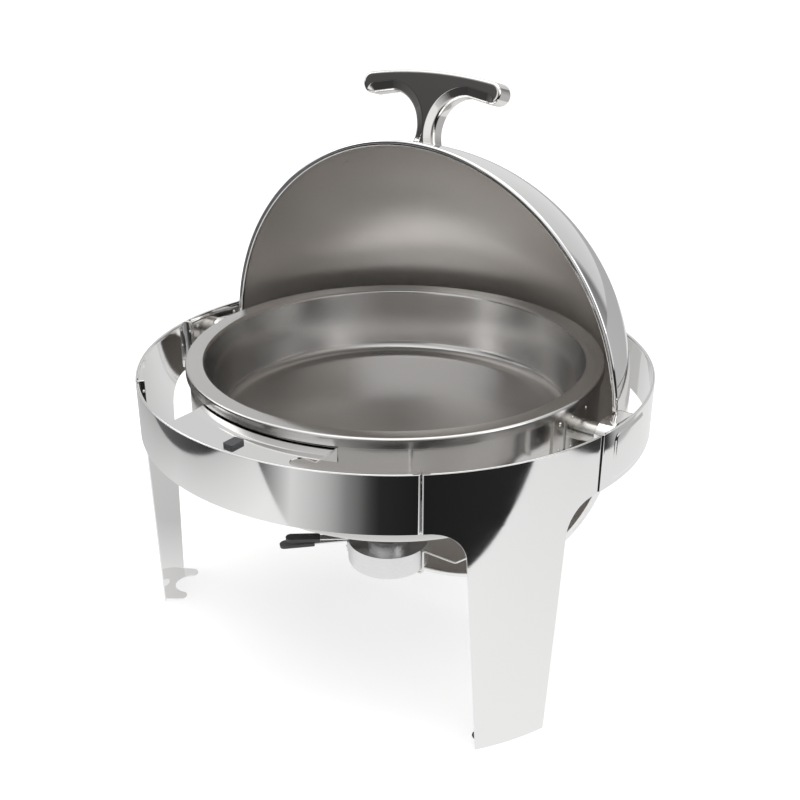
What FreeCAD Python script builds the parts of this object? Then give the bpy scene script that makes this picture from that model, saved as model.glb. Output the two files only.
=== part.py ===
import FreeCAD, Part
import math
import os
from FreeCAD import Vector

# Round roll top chafer, in millimetres. Origin on the floor at the centre of the ring, +Z up,
# front towards -Y. Azimuths are in degrees from the front, growing towards +X.
# The lid is drawn open, turned a quarter turn back from closed.

os.makedirs("parts", exist_ok=True)

# Outer ring and legs
SHEET = 1.2
BAND_R = 230.0
BAND_TOP = 257.5
BAND_BOTTOM = 208.0
HEM_WIDTH = 2.6
HEM_HEIGHT = 3.0
LEG_HALF_ANGLE = 19.5
BAND_HALF_ANGLE = 60.0 - LEG_HALF_ANGLE
LEG_AZIMUTHS = {"right_leg_panel": 60.0, "left_leg_panel": -60.0, "rear_leg_panel": 180.0}
BAND_AZIMUTHS = {"front_band_panel": 0.0, "right_rear_band_panel": 120.0, "left_rear_band_panel": -120.0}
SEAM_GAP = 0.3
BAND_BEND = 5.0
LEG_BEND = 1.8
FLANGE_TIP_R = 222.4
LEG_HALF_FOOT = 32.0
LEG_HALF_TOP = 45.0
LEG_FILLET = 28.0
TONGUE_OFFSET = 21.0
TONGUE_HALF = 6.5
TONGUE_TIP_R = 208.5
NOTCH_DEPTH_R = 225.5

# Hinge axis of the lid: along X at this height
AXIS_Z = 237.0
PIN_R = 4.0
PIN_CLEARANCE = 0.05
PIN_HEAD_X = (179.2, 182.7)
PIN_HEAD_R = 6.5
PIN_SOCKET_R = 3.0
PIN_SEAT = 5.0
SPACER_R = 9.5
SPACER_END_X = 205.0
WASHER_T = 0.8
RUNNING_GAP = 0.3
BOSS_R = 12.0
BOSS_START_X = 220.9

# Embossed field on the band outside each hinge, and the pad riveted behind it
EMBOSS_Y = (-24.0, 30.0)
EMBOSS_Z = (212.0, 253.0)
EMBOSS_PROUD = 0.9
EMBOSS_CORNER = 6.0
PAD_AZIMUTHS = (82.0, 98.5)
PAD_Z = (211.0, 252.0)

# Inner support ring and front shelf
RING_R = 184.2
RING_Z = (210.0, 263.1)
BRACKET_T = 1.6
BRACKET_AZIMUTHS = (78.5, 95.5)
BRACKET_Z = (219.0, 256.0)
BRACKET_RIVET_AZIMUTHS = (80.85, 86.3, 93.7)
BRACKET_RIVET_Z = (227.0, 251.0)
SHELF_TOP = 254.0
SHELF_HALF_WIDTH = 69.5
SHELF_FOLD_R = 198.0
SHELF_RISE = 1.5
SHELF_FLANGE_Z = 243.0
BUMPER_HEIGHT = 2.6

# Lid
DOME_R = 210.0
DOME_T = 1.0
RIM_OFFSET = 20.0
BEAD_R = (205.8, 210.7)
BEAD_BELOW = 2.4
BEAD_ABOVE = 1.6
BEAD_EDGE_R = 0.8
LUG_R = 13.5
LUG_X = (206.1, 219.7)
LUG_PAD = (27.0, 0.0, 11.0)
HANDLE_TILT = 13.6
HANDLE_HALF_THICKNESS = 10.0
HANDLE_TOP = 271.0

# Pans
PAN_T = 0.9
FOOD_RIM_TOP = 265.5
FOOD_RIM_R = 187.0
FOOD_MOUTH_R = 170.0
FOOD_BOTTOM = 200.0
WATER_RIM_TOP = 264.3
WATER_RIM_R = 185.6
WATER_BOTTOM = 152.8

# Fuel holder and its cradle
CUP_Y = -12.0
CUP_R = 39.0
CUP_Z = (49.0, 74.0)
CUP_FILLET = 5.0
CUP_T = 0.8
NECK_R = 20.0
NECK_TOP = 77.3
CAP_OVERLAP = 2.7
COVER_TOP = 68.0
HANDLE_AZIMUTH = -58.0
HANDLE_Z = 70.0
HANDLE_DROOP = 8.0
DAMPER_AZIMUTH = -52.0
LEVER_HALF_WIDTH = 4.0
GRIP_HALF_WIDTH = 5.6
GRIP_T = 3.4
WIRE_R = 1.2

RIVET_R = 1.1
RIVET_HOLE_R = RIVET_R + 0.05
RIVET_HEAD_R = 1.8
RIVET_HEAD_H = 0.9
# Air left between parts that only touch, so that their solids stay apart
TOUCH = 0.02


def polar(radius, azimuth, z=0.0):
    a = math.radians(azimuth)
    return Vector(radius * math.sin(a), -radius * math.cos(a), z)


def turned(shape, azimuth):
    copy = shape.copy()
    copy.rotate(Vector(0, 0, 0), Vector(0, 0, 1), azimuth)
    return copy


def mirrored_x(shape):
    return shape.mirror(Vector(0, 0, 0), Vector(1, 0, 0))


def export(name, *shapes):
    solids = [s for shape in shapes for s in shape.Solids]
    for solid in solids:
        if not solid.isValid() or solid.Volume <= 0:
            raise ValueError(name + " has a bad solid")
    shape = solids[0] if len(solids) == 1 else Part.makeCompound(solids)
    shape.exportStep("parts/" + name + ".step")


def fused(first, *others):
    return first.fuse(list(others)).removeSplitter()


# ---- outlines ----

def corner_arc(before, corner, after, radius):
    """Start, middle and end of the arc that rounds a corner in a plane outline."""
    to_before = (before - corner).normalize()
    to_after = (after - corner).normalize()
    half = to_before.getAngle(to_after) / 2
    reach = radius / math.tan(half)
    middle_way = (to_before + to_after).normalize()
    centre = corner + middle_way * (radius / math.sin(half))
    return corner + to_before * reach, centre - middle_way * radius, corner + to_after * reach


def rounded_wire(corners, place, closed=True):
    """A wire through (u, v, radius) corners, each rounded by its radius, put in space by place(u, v)."""
    points = [Vector(u, v, 0) for u, v, _ in corners]
    count = len(points)
    stops = []
    for i, point in enumerate(points):
        radius = corners[i][2]
        if radius > 0 and (closed or 0 < i < count - 1):
            stops.append(corner_arc(points[i - 1], point, points[(i + 1) % count], radius))
        else:
            stops.append((point, None, point))
    edges = []
    for i, (start, middle, end) in enumerate(stops):
        if middle is not None:
            edges.append(Part.Arc(place(start), place(middle), place(end)).toShape())
        if i < count - 1 or closed:
            following = stops[(i + 1) % count][0]
            if (following - end).Length > 1e-6:
                edges.append(Part.LineSegment(place(end), place(following)).toShape())
    return Part.Wire(edges)


def on_xy(p):
    return Vector(p.x, p.y, 0)


def on_xz(p):
    return Vector(p.x, 0, p.y)


def on_yz(p):
    return Vector(0, p.x, p.y)


def sheet_outline(path, thickness):
    """Closed corner list of a bent sheet: the path, and its offset to the left by the thickness."""
    points = [Vector(u, v, 0) for u, v, _ in path]
    ways = [(b - a).normalize() for a, b in zip(points, points[1:])]
    lefts = [Vector(-w.y, w.x, 0) for w in ways]
    offset = [(points[0] + lefts[0] * thickness, 0.0)]
    for i in range(1, len(points) - 1):
        between = (lefts[i - 1] + lefts[i]).normalize()
        reach = thickness / between.dot(lefts[i])
        turn = ways[i - 1].cross(ways[i]).z
        radius = path[i][2]
        if radius > 0:
            radius = radius - thickness if turn > 0 else radius + thickness
        offset.append((points[i] + between * reach, max(radius, 0.0)))
    offset.append((points[-1] + lefts[-1] * thickness, 0.0))
    return list(path) + [(p.x, p.y, r) for p, r in reversed(offset)]


def revolved(corners, start=0.0, end=360.0):
    """Solid of revolution about Z of a closed (r, z, radius) outline, between two azimuths."""
    face = Part.Face(rounded_wire(corners, on_xz))
    solid = face.revolve(Vector(0, 0, 0), Vector(0, 0, 1), end - start)
    return turned(solid, start - 90.0)


def rectangle(u0, u1, v0, v1, radius=0.0):
    return [(u0, v0, radius), (u1, v0, radius), (u1, v1, radius), (u0, v1, radius)]


def arc_plate(r_in, r_out, z0, z1, start, end):
    return revolved(rectangle(r_in, r_out, z0, z1), start, end)


def prism_x(corners, x0, x1):
    """Outline in the YZ plane, extruded along X."""
    face = Part.Face(rounded_wire(corners, on_yz))
    face.translate(Vector(x0, 0, 0))
    return face.extrude(Vector(x1 - x0, 0, 0))


def box(x0, x1, y0, y1, z0, z1):
    return Part.makeBox(x1 - x0, y1 - y0, z1 - z0, Vector(x0, y0, z0))


def rod(start, end, radius):
    way = end - start
    return Part.makeCylinder(radius, way.Length, start, way)


def rivet(seat, way, length, head_r=RIVET_HEAD_R, head_h=RIVET_HEAD_H, shank_r=RIVET_R):
    """A rivet: shank from the seat along way, and a domed head standing back from the seat."""
    ball_r = (head_r ** 2 + head_h ** 2) / (2 * head_h)
    lean = math.asin(head_r / ball_r) / 2
    crown = Vector(ball_r * math.sin(lean), 0, ball_r - head_h - ball_r * math.cos(lean))
    edges = [Part.Arc(Vector(0, 0, -head_h), crown, Vector(head_r, 0, 0)).toShape()]
    corners = [Vector(head_r, 0, 0), Vector(shank_r, 0, 0), Vector(shank_r, 0, length),
               Vector(0, 0, length), Vector(0, 0, -head_h)]
    edges += [Part.LineSegment(a, b).toShape() for a, b in zip(corners, corners[1:])]
    solid = Part.Face(Part.Wire(edges)).revolve(Vector(0, 0, 0), Vector(0, 0, 1), 360)
    solid.Placement = FreeCAD.Placement(seat, FreeCAD.Rotation(Vector(0, 0, 1), Vector(way)))
    return solid


# ---- outer ring: band panels and leg panels ----

def panel_plan(half_angle, bend):
    """Plan outline of one ring panel about the front: the arc, a bend and an inward flange at each end."""
    half = math.radians(half_angle)
    seam = SEAM_GAP / 2
    edges = []
    ends = []
    for side in (-1, 1):
        out = Vector(side * math.sin(half), -math.cos(half), 0)
        along = Vector(-side * math.cos(half), -math.sin(half), 0)
        middle_r = BAND_R - bend
        centre = out * math.sqrt(middle_r ** 2 - (bend + seam) ** 2) + along * (bend + seam)
        radial = Vector(centre).normalize()
        halfway = (radial - along).normalize()
        end = {}
        for key, radius in (("outer", bend), ("inner", bend - SHEET)):
            tip = out * FLANGE_TIP_R + along * (seam + bend - radius)
            end[key] = (centre + radial * radius, centre + halfway * radius, centre - along * radius, tip)
        ends.append(end)
    left, right = ends
    for key, radius in (("outer", BAND_R), ("inner", BAND_R - SHEET)):
        edges.append(Part.Arc(left[key][0], Vector(0, -radius, 0), right[key][0]).toShape())
        for end in ends:
            edges.append(Part.Arc(end[key][0], end[key][1], end[key][2]).toShape())
            edges.append(Part.LineSegment(end[key][2], end[key][3]).toShape())
    for end in ends:
        edges.append(Part.LineSegment(end["outer"][3], end["inner"][3]).toShape())
    return Part.Face(Part.Wire(Part.__sortEdges__(edges)))


def hem(half_angle, bend):
    span = half_angle - math.degrees((bend + SEAM_GAP / 2) / (BAND_R - bend))
    corners = rectangle(BAND_R - HEM_WIDTH, BAND_R, BAND_TOP - HEM_HEIGHT, BAND_TOP, 1.0)
    return revolved(corners, -span, span)


SEAM_RIVET_R = 223.8
SEAM_RIVET_Z = (216.0, 232.0, 248.0)
SEAM_SHANK_R = 0.8
SEAM_HEAD = (1.2, 0.7)


def seam_rivet_rods(half_angle):
    """Hole cutters through both end flanges of a panel about the front."""
    rods = []
    for side in (-1, 1):
        out = polar(SEAM_RIVET_R, side * half_angle)
        along = Vector(-out.y, out.x, 0).normalize()
        for z in SEAM_RIVET_Z:
            seat = out + Vector(0, 0, z)
            rods.append(rod(seat - along * 4, seat + along * 4, SEAM_SHANK_R + 0.05))
    return rods


def band_panel():
    plan = panel_plan(BAND_HALF_ANGLE, BAND_BEND)
    plan.translate(Vector(0, 0, BAND_BOTTOM))
    wall = plan.extrude(Vector(0, 0, BAND_TOP - BAND_BOTTOM))
    return fused(wall, hem(BAND_HALF_ANGLE, BAND_BEND)).cut(seam_rivet_rods(BAND_HALF_ANGLE))


def leg_outline():
    """Front view of a leg panel: the band's height above, the tapering leg below."""
    wide = 80.0
    above = BAND_TOP + 5
    return [
        (-wide, BAND_BOTTOM, 0), (-LEG_HALF_TOP, BAND_BOTTOM, LEG_FILLET), (-LEG_HALF_FOOT, 0, 0),
        (LEG_HALF_FOOT, 0, 0), (LEG_HALF_TOP, BAND_BOTTOM, LEG_FILLET), (wide, BAND_BOTTOM, 0),
        (wide, above, 0), (-wide, above, 0),
    ]


def foot_plate():
    """The leg's turned-in foot: two rounded tongues with a round notch between them."""
    inner, outer = TONGUE_OFFSET - TONGUE_HALF, TONGUE_OFFSET + TONGUE_HALF
    straight = -(TONGUE_TIP_R + TONGUE_HALF)
    edges = [Part.Arc(Vector(-inner, straight, 0), Vector(0, -NOTCH_DEPTH_R, 0),
                      Vector(inner, straight, 0)).toShape()]
    for side in (-1, 1):
        edges.append(Part.Arc(Vector(side * inner, straight, 0), Vector(side * TONGUE_OFFSET, -TONGUE_TIP_R, 0),
                              Vector(side * outer, straight, 0)).toShape())
        edges.append(Part.LineSegment(Vector(side * outer, straight, 0),
                                      Vector(side * outer, -BAND_R - 5, 0)).toShape())
    edges.append(Part.LineSegment(Vector(-outer, -BAND_R - 5, 0), Vector(outer, -BAND_R - 5, 0)).toShape())
    plate = Part.Face(Part.Wire(Part.__sortEdges__(edges))).extrude(Vector(0, 0, SHEET))
    return plate.common(Part.makeCylinder(BAND_R - SHEET / 2, SHEET))


def leg_panel():
    wall = panel_plan(LEG_HALF_ANGLE, LEG_BEND).extrude(Vector(0, 0, BAND_TOP))
    face = Part.Face(rounded_wire(leg_outline(), on_xz))
    face.translate(Vector(0, -BAND_R - 5, 0))
    wall = wall.common(face.extrude(Vector(0, 40, 0)))
    panel = fused(wall, hem(LEG_HALF_ANGLE, LEG_BEND), foot_plate())
    return panel.cut(seam_rivet_rods(LEG_HALF_ANGLE))


def emboss():
    """Raised field with round corners on the outside of the band, at the hinge on +X."""
    corners = rectangle(EMBOSS_Y[0], EMBOSS_Y[1], EMBOSS_Z[0], EMBOSS_Z[1], EMBOSS_CORNER)
    block = prism_x(corners, BAND_R - 20, BAND_R + 5)
    shell = revolved(rectangle(BAND_R - SHEET / 2, BAND_R + EMBOSS_PROUD, BAND_BOTTOM, BAND_TOP))
    return block.common(shell)


def make_outer_ring():
    band = band_panel()
    leg = leg_panel()
    for name, azimuth in BAND_AZIMUTHS.items():
        panel = turned(band, azimuth)
        if azimuth > 0:
            panel = fused(panel, emboss())
        elif azimuth < 0:
            panel = fused(panel, mirrored_x(emboss()))
        export(name, panel)
    for name, azimuth in LEG_AZIMUTHS.items():
        export(name, turned(leg, azimuth))
    rivets = []
    for azimuth in LEG_AZIMUTHS.values():
        for side in (-1, 1):
            out = polar(SEAM_RIVET_R, azimuth + side * LEG_HALF_ANGLE)
            along = Vector(-out.y, out.x, 0).normalize() * side
            grip = SHEET + SEAM_GAP / 2
            for z in SEAM_RIVET_Z:
                seat = out + Vector(0, 0, z)
                front = rivet(seat - along * grip, along, grip, *SEAM_HEAD, SEAM_SHANK_R)
                back = rivet(seat + along * grip, along * -1, grip, *SEAM_HEAD, SEAM_SHANK_R)
                rivets.append(fused(front, back))
    export("seam_rivets", *rivets)


# ---- hinge pads, bosses, brackets, spacers and pins ----

def hinge_line(x0, x1, radius):
    return rod(Vector(x0, 0, AXIS_Z), Vector(x1, 0, AXIS_Z), radius)


PAD_INNER_R = BAND_R - 2 * SHEET
PAD_RIVETS = [(azimuth, z) for azimuth in (83.6, 96.9) for z in (217.0, 233.0, 247.5)]


def hinge_pad():
    pad = arc_plate(PAD_INNER_R, BAND_R - SHEET, PAD_Z[0], PAD_Z[1], *PAD_AZIMUTHS)
    holes = [rod(polar(200, a, z), polar(BAND_R, a, z), RIVET_HOLE_R) for a, z in PAD_RIVETS]
    return pad.cut(holes)


def pad_rivets():
    return [rivet(polar(PAD_INNER_R - TOUCH, a, z), polar(1, a), SHEET) for a, z in PAD_RIVETS]


def hinge_boss():
    boss = hinge_line(BOSS_START_X, BAND_R, BOSS_R).common(Part.makeCylinder(PAD_INNER_R, 2 * AXIS_Z))
    return boss.cut(hinge_line(BOSS_START_X - 1, BOSS_START_X + PIN_SEAT + 0.2, PIN_R + TOUCH))


def hinge_pin():
    head = hinge_line(PIN_HEAD_X[0], PIN_HEAD_X[1], PIN_HEAD_R)
    hexagon = [(PIN_SOCKET_R * math.cos(math.radians(60 * i)),
                AXIS_Z + PIN_SOCKET_R * math.sin(math.radians(60 * i)), 0) for i in range(6)]
    socket = prism_x(hexagon, PIN_HEAD_X[0] - 1, PIN_HEAD_X[0] + 2)
    return fused(head, hinge_line(PIN_HEAD_X[1], BOSS_START_X + PIN_SEAT, PIN_R)).cut(socket)


def hinge_spacer():
    bracket_face = Part.makeCylinder(RING_R + BRACKET_T, 2 * AXIS_Z)
    body = hinge_line(RING_R - 2, SPACER_END_X, SPACER_R).cut(bracket_face)
    return body.cut(hinge_line(RING_R - 5, SPACER_END_X + 1, PIN_R + PIN_CLEARANCE))


def hinge_washers():
    inner = hinge_line(SPACER_END_X, SPACER_END_X + WASHER_T, 8.5)
    outer = hinge_line(BOSS_START_X - WASHER_T, BOSS_START_X, 11.0)
    bore = hinge_line(SPACER_END_X - 1, BOSS_START_X + 1, PIN_R + PIN_CLEARANCE)
    return [inner.cut(bore), outer.cut(bore)]


SLOT_AZIMUTHS = (82.6, 83.7)
SLOT_Z = (224.0, 251.5)


def bracket_cuts():
    """Pin hole, rivet holes and the narrow slot, cut through bracket and ring alike."""
    cuts = [hinge_line(150, RING_R + 10, PIN_R + PIN_CLEARANCE)]
    for azimuth in BRACKET_RIVET_AZIMUTHS:
        for z in BRACKET_RIVET_Z:
            cuts.append(rod(polar(150, azimuth, z), polar(RING_R + 10, azimuth, z), RIVET_HOLE_R))
    cuts.append(arc_plate(150, RING_R + 10, SLOT_Z[0], SLOT_Z[1], *SLOT_AZIMUTHS))
    return cuts


def hinge_bracket():
    plate = arc_plate(RING_R, RING_R + BRACKET_T, BRACKET_Z[0], BRACKET_Z[1], *BRACKET_AZIMUTHS)
    return plate.cut(bracket_cuts())


def bracket_rivets():
    rivets = []
    for azimuth in BRACKET_RIVET_AZIMUTHS:
        for z in BRACKET_RIVET_Z:
            seat = polar(RING_R + BRACKET_T + TOUCH, azimuth, z)
            rivets.append(rivet(seat, polar(-1, azimuth), BRACKET_T + SHEET + 0.5))
    return rivets


def lid_stop():
    """Pin under the open lid's lug, standing in from the hinge pad."""
    y, z = 21.75, AXIS_Z - 14.62
    pin = rod(Vector(214.6, y, z), Vector(BAND_R, y, z), 3.0)
    return pin.common(Part.makeCylinder(PAD_INNER_R, 2 * AXIS_Z))


def make_hinges():
    for side, place in (("right", lambda s: s), ("left", mirrored_x)):
        export(side + "_hinge_pad", place(hinge_pad()))
        export(side + "_hinge_bracket", place(hinge_bracket()))
        export(side + "_hinge_spacer", place(hinge_spacer()))
    both = [lambda s: s, mirrored_x]
    export("hinge_pad_rivets", *[place(r) for place in both for r in pad_rivets()])
    export("hinge_bracket_rivets", *[place(r) for place in both for r in bracket_rivets()])
    export("hinge_bosses", *[place(hinge_boss()) for place in both])
    export("hinge_pins", *[place(hinge_pin()) for place in both])
    export("hinge_washers", *[place(w) for place in both for w in hinge_washers()])
    export("lid_stops", *[place(lid_stop()) for place in both])


# ---- inner ring, shelf, bumper ----

SHELF_RIVETS = [(azimuth, 247.5) for azimuth in (-15.0, -5.0, 5.0, 15.0)]


def inner_ring():
    ring = revolved(rectangle(RING_R - SHEET, RING_R, RING_Z[0], RING_Z[1]))
    cuts = bracket_cuts()
    cuts += [mirrored_x(cut) for cut in bracket_cuts()]
    cuts += [rod(polar(150, a, z), polar(RING_R + 10, a, z), RIVET_HOLE_R) for a, z in SHELF_RIVETS]
    return ring.cut(cuts)


def front_shelf():
    path = [
        (BAND_R - SHEET, SHELF_TOP, 0), (SHELF_FOLD_R, SHELF_TOP, 4.0),
        (RING_R, SHELF_TOP + SHELF_RISE, 1.6), (RING_R, SHELF_FLANGE_Z, 0),
    ]
    shelf = revolved(sheet_outline(path, SHEET), -30, 30)
    wide = SHELF_HALF_WIDTH
    shelf = shelf.common(box(-wide, wide, -BAND_R, -150, BAND_BOTTOM, BAND_TOP))
    relief_x, relief_y, relief_r = 60.0, -204.5, 7.5
    relief = Part.makeCylinder(relief_r, 20, Vector(relief_x, relief_y, SHELF_TOP - 10))
    relief_slot = box(relief_x, wide + 5, relief_y - relief_r, relief_y + relief_r, SHELF_TOP - 10, BAND_TOP)
    holes = [rod(polar(150, a, z), polar(RING_R + 10, a, z), RIVET_HOLE_R) for a, z in SHELF_RIVETS]
    stem_hole = Part.makeCylinder(2.6, 20, Vector(0, BUMPER_Y, SHELF_TOP - 10))
    return shelf.cut([relief, relief_slot, stem_hole] + holes)


BUMPER_Y = -211.0


def lid_bumper():
    half_width, half_length = 5.0, 7.0
    block = box(-half_width, half_width, BUMPER_Y - half_length, BUMPER_Y + half_length,
                SHELF_TOP, SHELF_TOP + BUMPER_HEIGHT)
    upright = [e for e in block.Edges if abs(e.Vertexes[0].Z - e.Vertexes[1].Z) > 1]
    block = block.makeFillet(1.5, upright)
    stem = Part.makeCylinder(2.5, SHEET + 0.5, Vector(0, BUMPER_Y, SHELF_TOP - SHEET - 0.5))
    barb = Part.makeCone(2.0, 3.6, 3.0, Vector(0, BUMPER_Y, SHELF_TOP - SHEET - 3.5))
    return fused(block, stem, barb)


def make_inner_frame():
    export("inner_support_ring", inner_ring())
    export("front_shelf", front_shelf())
    export("lid_bumper", lid_bumper())
    seat_r = RING_R + SHEET + TOUCH
    rivets = [rivet(polar(seat_r, a, z), polar(-1, a), 2 * SHEET + 0.5) for a, z in SHELF_RIVETS]
    export("shelf_rivets", *rivets)


# ---- lid ----

def about_axis(shape):
    """Moves a shape drawn about the hinge axis up to its place."""
    shape.translate(Vector(0, 0, AXIS_Z))
    return shape


def dome():
    """Spherical shell down to the rim bead, turned about the lid's own axis, which lies along Y when open."""
    rim = RIM_OFFSET + BEAD_ABOVE
    edges = []
    ends = []
    for radius in (DOME_R, DOME_R - DOME_T):
        foot = Vector(math.sqrt(radius ** 2 - rim ** 2), rim, 0)
        top = Vector(0, radius, 0)
        edges.append(Part.Arc(foot, (foot + top).normalize() * radius, top).toShape())
        ends.append((foot, top))
    for outside, inside in zip(*ends):
        edges.append(Part.LineSegment(outside, inside).toShape())
    return lathed_y(Part.Wire(Part.__sortEdges__(edges)))


def lathed_y(wire):
    return Part.Face(wire).revolve(Vector(0, 0, 0), Vector(0, 1, 0), 360)


def rim_bead():
    """Rolled rim round the dome's mouth, turned about the lid's own axis, which lies along Y when open."""
    corners = rectangle(BEAD_R[0], BEAD_R[1], RIM_OFFSET - BEAD_BELOW, RIM_OFFSET + BEAD_ABOVE, BEAD_EDGE_R)
    return lathed_y(rounded_wire(corners, on_xy))


LUG_RIVETS = ((28.0, -5.5), (28.0, 5.5))


def lug_arm_outline():
    """Two circles and their outer tangents, as a closed (y, z) wire: the hinge eye and the pad on the dome."""
    pad_y, pad_z, pad_r = LUG_PAD
    eye, pad = Vector(0, 0, 0), Vector(0, pad_y, pad_z)
    way = Vector(pad).normalize()
    side = Vector(0, -way.z, way.y)
    lean = math.asin((LUG_R - pad_r) / pad.Length)
    ends = []
    for sign in (-1, 1):
        normal = side * (sign * math.cos(lean)) + way * math.sin(lean)
        ends.append((eye + normal * LUG_R, pad + normal * pad_r))
    (eye_a, pad_a), (eye_b, pad_b) = ends
    edges = [
        Part.Arc(eye_a, eye - way * LUG_R, eye_b).toShape(),
        Part.LineSegment(eye_b, pad_b).toShape(),
        Part.Arc(pad_b, pad + way * pad_r, pad_a).toShape(),
        Part.LineSegment(pad_a, eye_a).toShape(),
    ]
    return Part.Wire(Part.__sortEdges__(edges))


def lug_rivet_line(y, z, r0, r1, radius):
    """A rod through the dome wall, square to the sphere, on the +X side."""
    way = Vector(math.sqrt(DOME_R ** 2 - y ** 2 - z ** 2), y, z).normalize()
    return rod(way * r0, way * r1, radius)


def lid_lug():
    arm = Part.Face(lug_arm_outline())
    arm.translate(Vector(LUG_X[0], 0, 0))
    arm = arm.extrude(Vector(LUG_X[1] - LUG_X[0], 0, 0))
    beyond_eye = box(200, 230, 13.6, 60, -60, 60)
    arm = arm.cut(Part.makeSphere(DOME_R + TOUCH).common(beyond_eye)).cut(rim_bead())
    bore = rod(Vector(200, 0, 0), Vector(230, 0, 0), PIN_R + PIN_CLEARANCE)
    holes = [lug_rivet_line(y, z, 205, DOME_R + 3.6, RIVET_HOLE_R) for y, z in LUG_RIVETS]
    parts = arm.cut([bore] + holes).Solids
    return max(parts, key=lambda s: s.Volume)


def lug_rivets():
    rivets = []
    for y, z in LUG_RIVETS:
        way = Vector(math.sqrt(DOME_R ** 2 - y ** 2 - z ** 2), y, z).normalize()
        rivets.append(rivet(way * (DOME_R - DOME_T - TOUCH), way, DOME_T + 3.5))
    return rivets


def handle_outline():
    """Front view of the handle: a narrow stem flaring into a drooping bar, (x, height above the axis)."""
    def pair(x, w):
        return Vector(x, 0, w), Vector(-x, 0, w)
    base, base_l = pair(13.0, DOME_R - 3)
    waist, waist_l = pair(9.5, 222.0)
    flare, flare_l = pair(17.0, 241.5)
    under, under_l = pair(38.0, 251.0)
    droop, droop_l = pair(58.0, 247.5)
    tip, tip_l = pair(70.0, 254.0)
    shoulder, shoulder_l = pair(62.5, 265.5)
    crown = Vector(0, 0, HANDLE_TOP)
    edges = [Part.LineSegment(base_l, base).toShape(), Part.Arc(shoulder, crown, shoulder_l).toShape()]
    for a, b, c, d, e, f, g in ((base, waist, flare, under, droop, tip, shoulder),
                                (base_l, waist_l, flare_l, under_l, droop_l, tip_l, shoulder_l)):
        edges.append(Part.LineSegment(a, b).toShape())
        edges.append(Part.Arc(b, c, d).toShape())
        edges.append(Part.LineSegment(d, e).toShape())
        edges.append(Part.Arc(e, f, g).toShape())
    return Part.Wire(Part.__sortEdges__(edges))


HANDLE_SCREW_X = 4.6
SCREW_R = 2.5
SCREW_HOLE_R = SCREW_R + 0.05
SCREW_END = 223.0
BACKING_T = 2.6


def leaned(shape):
    """Leans a part drawn along +Z back to the handle's place on the open dome."""
    shape.rotate(Vector(0, 0, 0), Vector(1, 0, 0), -HANDLE_TILT)
    return about_axis(shape)


def screw_line(x, w0, w1, radius):
    return rod(Vector(x, 0, w0), Vector(x, 0, w1), radius)


def lid_handle():
    face = Part.Face(handle_outline())
    face.translate(Vector(0, -HANDLE_HALF_THICKNESS, 0))
    body = face.extrude(Vector(0, 2 * HANDLE_HALF_THICKNESS, 0))
    side_view = rectangle(-HANDLE_HALF_THICKNESS, HANDLE_HALF_THICKNESS, DOME_R - 10, HANDLE_TOP, 5.0)
    body = body.common(prism_x(side_view, -80, 80))
    body = body.cut(Part.makeSphere(DOME_R + TOUCH))
    for x in (-HANDLE_SCREW_X, HANDLE_SCREW_X):
        body = body.cut(screw_line(x, 200, SCREW_END + 0.2, SCREW_R + TOUCH))
    return body


def handle_backing_plate():
    plate = box(-13, 13, -7, 7, DOME_R - DOME_T - BACKING_T, DOME_R)
    plate = plate.common(Part.makeSphere(DOME_R - DOME_T - TOUCH))
    for x in (-HANDLE_SCREW_X, HANDLE_SCREW_X):
        plate = plate.cut(screw_line(x, 200, SCREW_END, SCREW_HOLE_R))
    return plate


def handle_screw(x):
    head_base = DOME_R - DOME_T - BACKING_T - TOUCH
    head = screw_line(x, head_base - 2.6, head_base, 4.2)
    rims = [e for e in head.Edges if e.BoundBox.ZMax < head_base - 2.5 and e.BoundBox.XLength > 1]
    head = head.makeFillet(1.2, rims)
    socket = box(x - 0.6, x + 0.6, -3, 3, head_base - 3, head_base - 1.4)
    return fused(head, screw_line(x, head_base, SCREW_END, SCREW_R)).cut(socket)


def make_lid():
    screws = [screw_line(x, 200, SCREW_END, SCREW_HOLE_R) for x in (-HANDLE_SCREW_X, HANDLE_SCREW_X)]
    for screw in screws:
        screw.rotate(Vector(0, 0, 0), Vector(1, 0, 0), -HANDLE_TILT)
    rivet_holes = [lug_rivet_line(y, z, 205, 225, RIVET_HOLE_R) for y, z in LUG_RIVETS]
    rivet_holes += [mirrored_x(hole) for hole in rivet_holes]
    export("lid_dome", about_axis(dome().cut(screws + rivet_holes)))
    export("lid_rim_bead", about_axis(rim_bead()))
    export("right_lid_lug", about_axis(lid_lug()))
    export("left_lid_lug", about_axis(mirrored_x(lid_lug())))
    rivets = lug_rivets()
    rivets += [mirrored_x(r) for r in rivets]
    export("lug_rivets", *[about_axis(r) for r in rivets])
    export("lid_handle", leaned(lid_handle()))
    export("handle_backing_plate", leaned(handle_backing_plate()))
    export("handle_screws", *[leaned(handle_screw(x)) for x in (-HANDLE_SCREW_X, HANDLE_SCREW_X)])


# ---- pans ----

def food_pan():
    path = [
        (FOOD_RIM_R, FOOD_RIM_TOP - 8.5, 0), (FOOD_RIM_R, FOOD_RIM_TOP, 2.2), (FOOD_MOUTH_R, FOOD_RIM_TOP, 4.0),
        (163.0, FOOD_BOTTOM + PAN_T, 12.0), (0, FOOD_BOTTOM + PAN_T, 0),
    ]
    return revolved(sheet_outline(path, PAN_T))


def water_pan():
    path = [
        (WATER_RIM_R, WATER_RIM_TOP, 0), (176.5, WATER_RIM_TOP, 4.0), (168.5, 205.0, 60.0),
        (160.5, WATER_BOTTOM + PAN_T, 22.0), (0, WATER_BOTTOM + PAN_T, 0),
    ]
    return revolved(sheet_outline(path, PAN_T))


def make_pans():
    export("food_pan", food_pan())
    export("water_pan", water_pan())


# ---- fuel holder and cradle ----

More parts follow.
